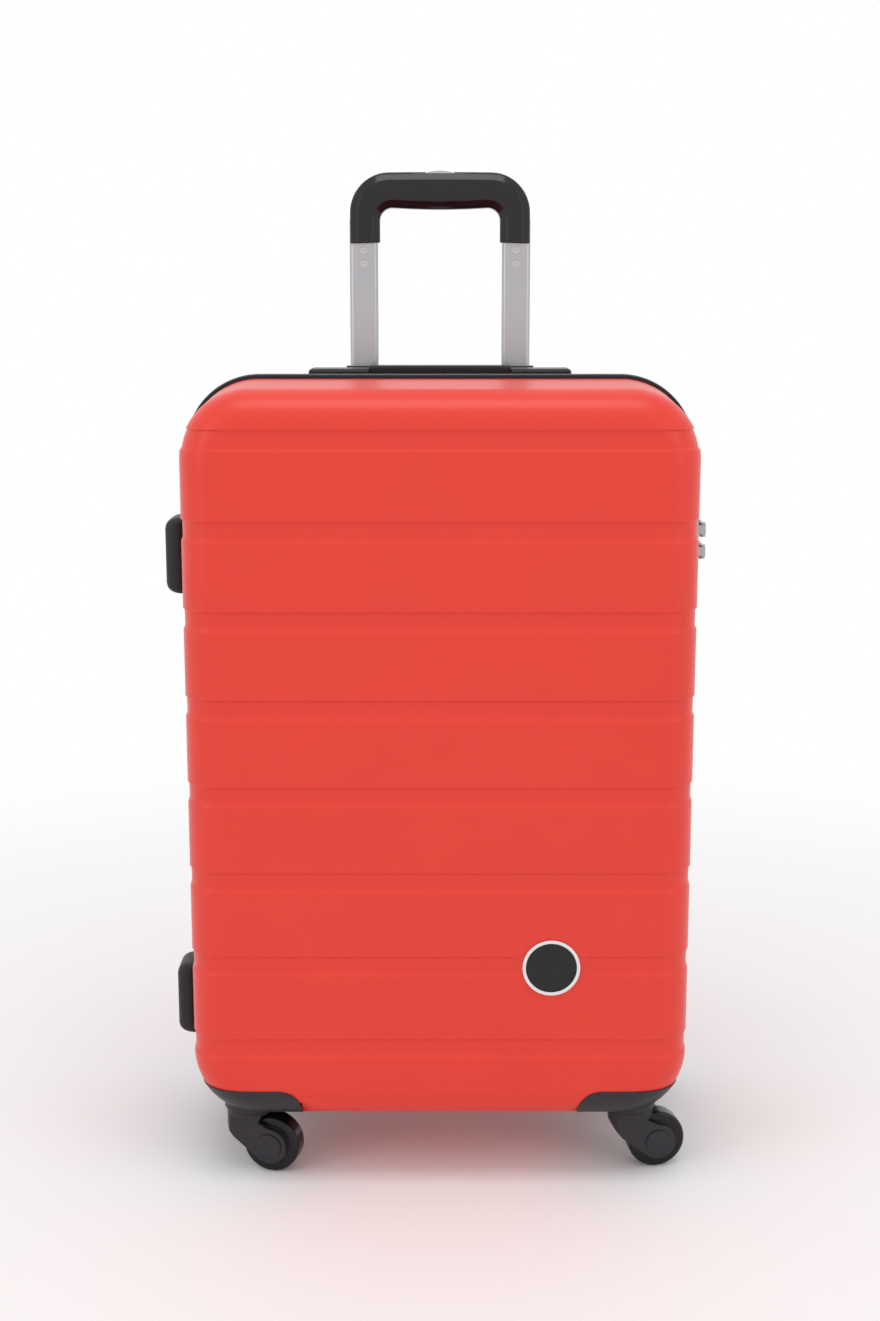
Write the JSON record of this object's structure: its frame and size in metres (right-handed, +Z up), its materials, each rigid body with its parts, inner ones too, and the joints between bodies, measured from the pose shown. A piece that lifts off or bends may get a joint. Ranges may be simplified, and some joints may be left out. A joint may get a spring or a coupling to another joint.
{
  "type": "hard shell suitcase on wheels",
  "caption": "Upright hard shell suitcase with ribbed faces, swivel casters, a telescopic trolley handle, a carry handle, a zip and a dial lock.",
  "frame": {"origin": "on the floor, under the middle of the whole suitcase's box", "axes": "+X to the right seen from the front, +Y from the front to the back, where the trolley handle is, +Z up"},
  "size_m": [0.4585, 0.253, 0.8538],
  "materials": {
    "shell_red": "satin, fine pebble grain",
    "lining_cloth": "plain woven",
    "divider_mesh": "mesh and woven panel",
    "zip_tape_black": "woven tape",
    "zip_teeth_grey": "moulded coil",
    "bright_chrome": "polished",
    "badge_black": "gloss",
    "charcoal_plastic": "satin moulded",
    "tube_satin": "satin anodised",
    "guide_plastic": "moulded",
    "handle_gloss": "polished",
    "screw_steel": "plated",
    "button_grey": "satin",
    "handle_black": "satin moulded",
    "dial_plastic": "satin",
    "zip_metal": "dark plated",
    "strap_webbing": "webbing",
    "caster_grey": "satin moulded",
    "tyre_black": "smooth tread"
  },
  "bodies": {
    "back_half": {"back_shell": "shell_red", "back_lining": "lining_cloth", "back_zip_tape": "zip_tape_black", "back_zip_teeth": "zip_teeth_grey", "outer_tubes": "tube_satin", "tube_feet": "guide_plastic", "trolley_bezel": "guide_plastic", "carry_handle_housing": "handle_black", "lock_body": "charcoal_plastic", "compression_straps": "strap_webbing", "strap_buckle": "guide_plastic", "back_swivel_stems": "screw_steel", "back_left_housing": "caster_grey", "back_right_housing": "caster_grey"},
    "front_half": {"front_shell": "shell_red", "front_lining": "lining_cloth", "divider_panel": "divider_mesh", "front_zip_tape": "zip_tape_black", "front_zip_teeth": "zip_teeth_grey", "badge_ring": "bright_chrome", "badge_face": "badge_black", "side_feet": "charcoal_plastic", "front_swivel_stems": "screw_steel", "front_left_housing": "caster_grey", "front_right_housing": "caster_grey"},
    "middle_stage": {"middle_tubes": "tube_satin", "middle_tube_bushes": "guide_plastic"},
    "inner_stage": {"inner_tubes": "tube_satin", "inner_tube_bushes": "guide_plastic", "trolley_grip": "handle_gloss", "grip_screws": "screw_steel", "button_springs": "screw_steel"},
    "grip_button": {"release_button": "button_grey", "button_yoke": "guide_plastic"},
    "carry_grip": {"carry_handle_grip": "handle_black"},
    "dial_upper": {"lock_dial_upper": "dial_plastic"},
    "dial_middle": {"lock_dial_middle": "dial_plastic"},
    "dial_lower": {"lock_dial_lower": "dial_plastic"},
    "lock_release": {"lock_slide": "dial_plastic"},
    "upper_slider": {"upper_zip_slider": "zip_metal"},
    "upper_tab": {"upper_pull_tab": "zip_metal"},
    "lower_slider": {"lower_zip_slider": "zip_metal"},
    "lower_tab": {"lower_pull_tab": "zip_metal"},
    "front_left_swivel": {"front_left_fork": "caster_grey", "front_left_axle": "caster_grey"},
    "front_left_wheel": {"front_left_hub": "caster_grey", "front_left_tyre": "tyre_black"},
    "front_right_swivel": {"front_right_fork": "caster_grey", "front_right_axle": "caster_grey"},
    "front_right_wheel": {"front_right_hub": "caster_grey", "front_right_tyre": "tyre_black"},
    "back_left_swivel": {"back_left_fork": "caster_grey", "back_left_axle": "caster_grey"},
    "back_left_wheel": {"back_left_hub": "caster_grey", "back_left_tyre": "tyre_black"},
    "back_right_swivel": {"back_right_fork": "caster_grey", "back_right_axle": "caster_grey"},
    "back_right_wheel": {"back_right_hub": "caster_grey", "back_right_tyre": "tyre_black"}
  },
  "joints": [
    {"name": "case_opening", "type": "hinge", "parent": "back_half", "child": "front_half", "pos_m": [-0.2185, 0, 0.3655], "axis": [0, 0, -1], "range_deg": [0, 160]},
    {"name": "middle_stage_rise", "type": "slide", "parent": "back_half", "child": "middle_stage", "axis": [0, 0, 1], "range_m": [0, 0.12]},
    {"name": "inner_stage_rise", "type": "slide", "parent": "middle_stage", "child": "inner_stage", "axis": [0, 0, 1], "range_m": [-0.106, 0.1]},
    {"name": "release_button_press", "type": "slide", "parent": "inner_stage", "child": "grip_button", "axis": [0, 0, -1], "range_m": [0, 0.004], "stiffness_N_per_m": 1500, "springref_m": -0.002, "deforming": ["button_springs"]},
    {"name": "carry_handle_lift", "type": "slide", "parent": "back_half", "child": "carry_grip", "axis": [0, 0, 1], "range_m": [0, 0.012]},
    {"name": "lock_slide_press", "type": "slide", "parent": "back_half", "child": "lock_release", "axis": [0, 0, 1], "range_m": [0, 0.005], "stiffness_N_per_m": 400, "springref_m": -0.002},
    {"name": "upper_zip_run", "type": "slide", "parent": "back_half", "child": "upper_slider", "axis": [0, 0, 1], "range_m": [0, 0.06]},
    {"name": "lower_zip_run", "type": "slide", "parent": "back_half", "child": "lower_slider", "axis": [0, 0, -1], "range_m": [0, 0.38]},
    {"name": "upper_tab_swing", "type": "hinge", "parent": "upper_slider", "child": "upper_tab", "pos_m": [0.2265, 0, 0.548], "axis": [0, 0, -1], "range_deg": [0, 150]},
    {"name": "lower_tab_swing", "type": "hinge", "parent": "lower_slider", "child": "lower_tab", "pos_m": [0.2265, 0, 0.529], "axis": [0, 0, -1], "range_deg": [0, 150]},
    {"name": "upper_dial_turn", "type": "hinge", "parent": "back_half", "child": "dial_upper", "pos_m": [0.215, 0.039, 0.5475], "axis": [0, 0, 1], "continuous": true},
    {"name": "middle_dial_turn", "type": "hinge", "parent": "back_half", "child": "dial_middle", "pos_m": [0.215, 0.039, 0.5385], "axis": [0, 0, 1], "continuous": true},
    {"name": "lower_dial_turn", "type": "hinge", "parent": "back_half", "child": "dial_lower", "pos_m": [0.215, 0.039, 0.5295], "axis": [0, 0, 1], "continuous": true},
    {"name": "front_left_swivel_turn", "type": "hinge", "parent": "front_half", "child": "front_left_swivel", "pos_m": [-0.1655, -0.083, 0.05], "axis": [0, 0, 1], "continuous": true},
    {"name": "front_left_wheel_spin", "type": "hinge", "parent": "front_left_swivel", "child": "front_left_wheel", "pos_m": [-0.14425, -0.08869, 0.025], "axis": [0.2588, 0.9659, 0], "continuous": true},
    {"name": "front_right_swivel_turn", "type": "hinge", "parent": "front_half", "child": "front_right_swivel", "pos_m": [0.1655, -0.083, 0.05], "axis": [0, 0, 1], "continuous": true},
    {"name": "front_right_wheel_spin", "type": "hinge", "parent": "front_right_swivel", "child": "front_right_wheel", "pos_m": [0.18717, -0.07918, 0.025], "axis": [-0.1736, 0.9848, 0], "continuous": true},
    {"name": "back_left_swivel_turn", "type": "hinge", "parent": "back_half", "child": "back_left_swivel", "pos_m": [-0.1655, 0.083, 0.05], "axis": [0, 0, 1], "continuous": true},
    {"name": "back_left_wheel_spin", "type": "hinge", "parent": "back_left_swivel", "child": "back_left_wheel", "pos_m": [-0.14383, 0.07918, 0.025], "axis": [0.1736, 0.9848, 0], "continuous": true},
    {"name": "back_right_swivel_turn", "type": "hinge", "parent": "back_half", "child": "back_right_swivel", "pos_m": [0.1655, 0.083, 0.05], "axis": [0, 0, 1], "continuous": true},
    {"name": "back_right_wheel_spin", "type": "hinge", "parent": "back_right_swivel", "child": "back_right_wheel", "pos_m": [0.18675, 0.08869, 0.025], "axis": [-0.2588, 0.9659, 0], "continuous": true}
  ]
}
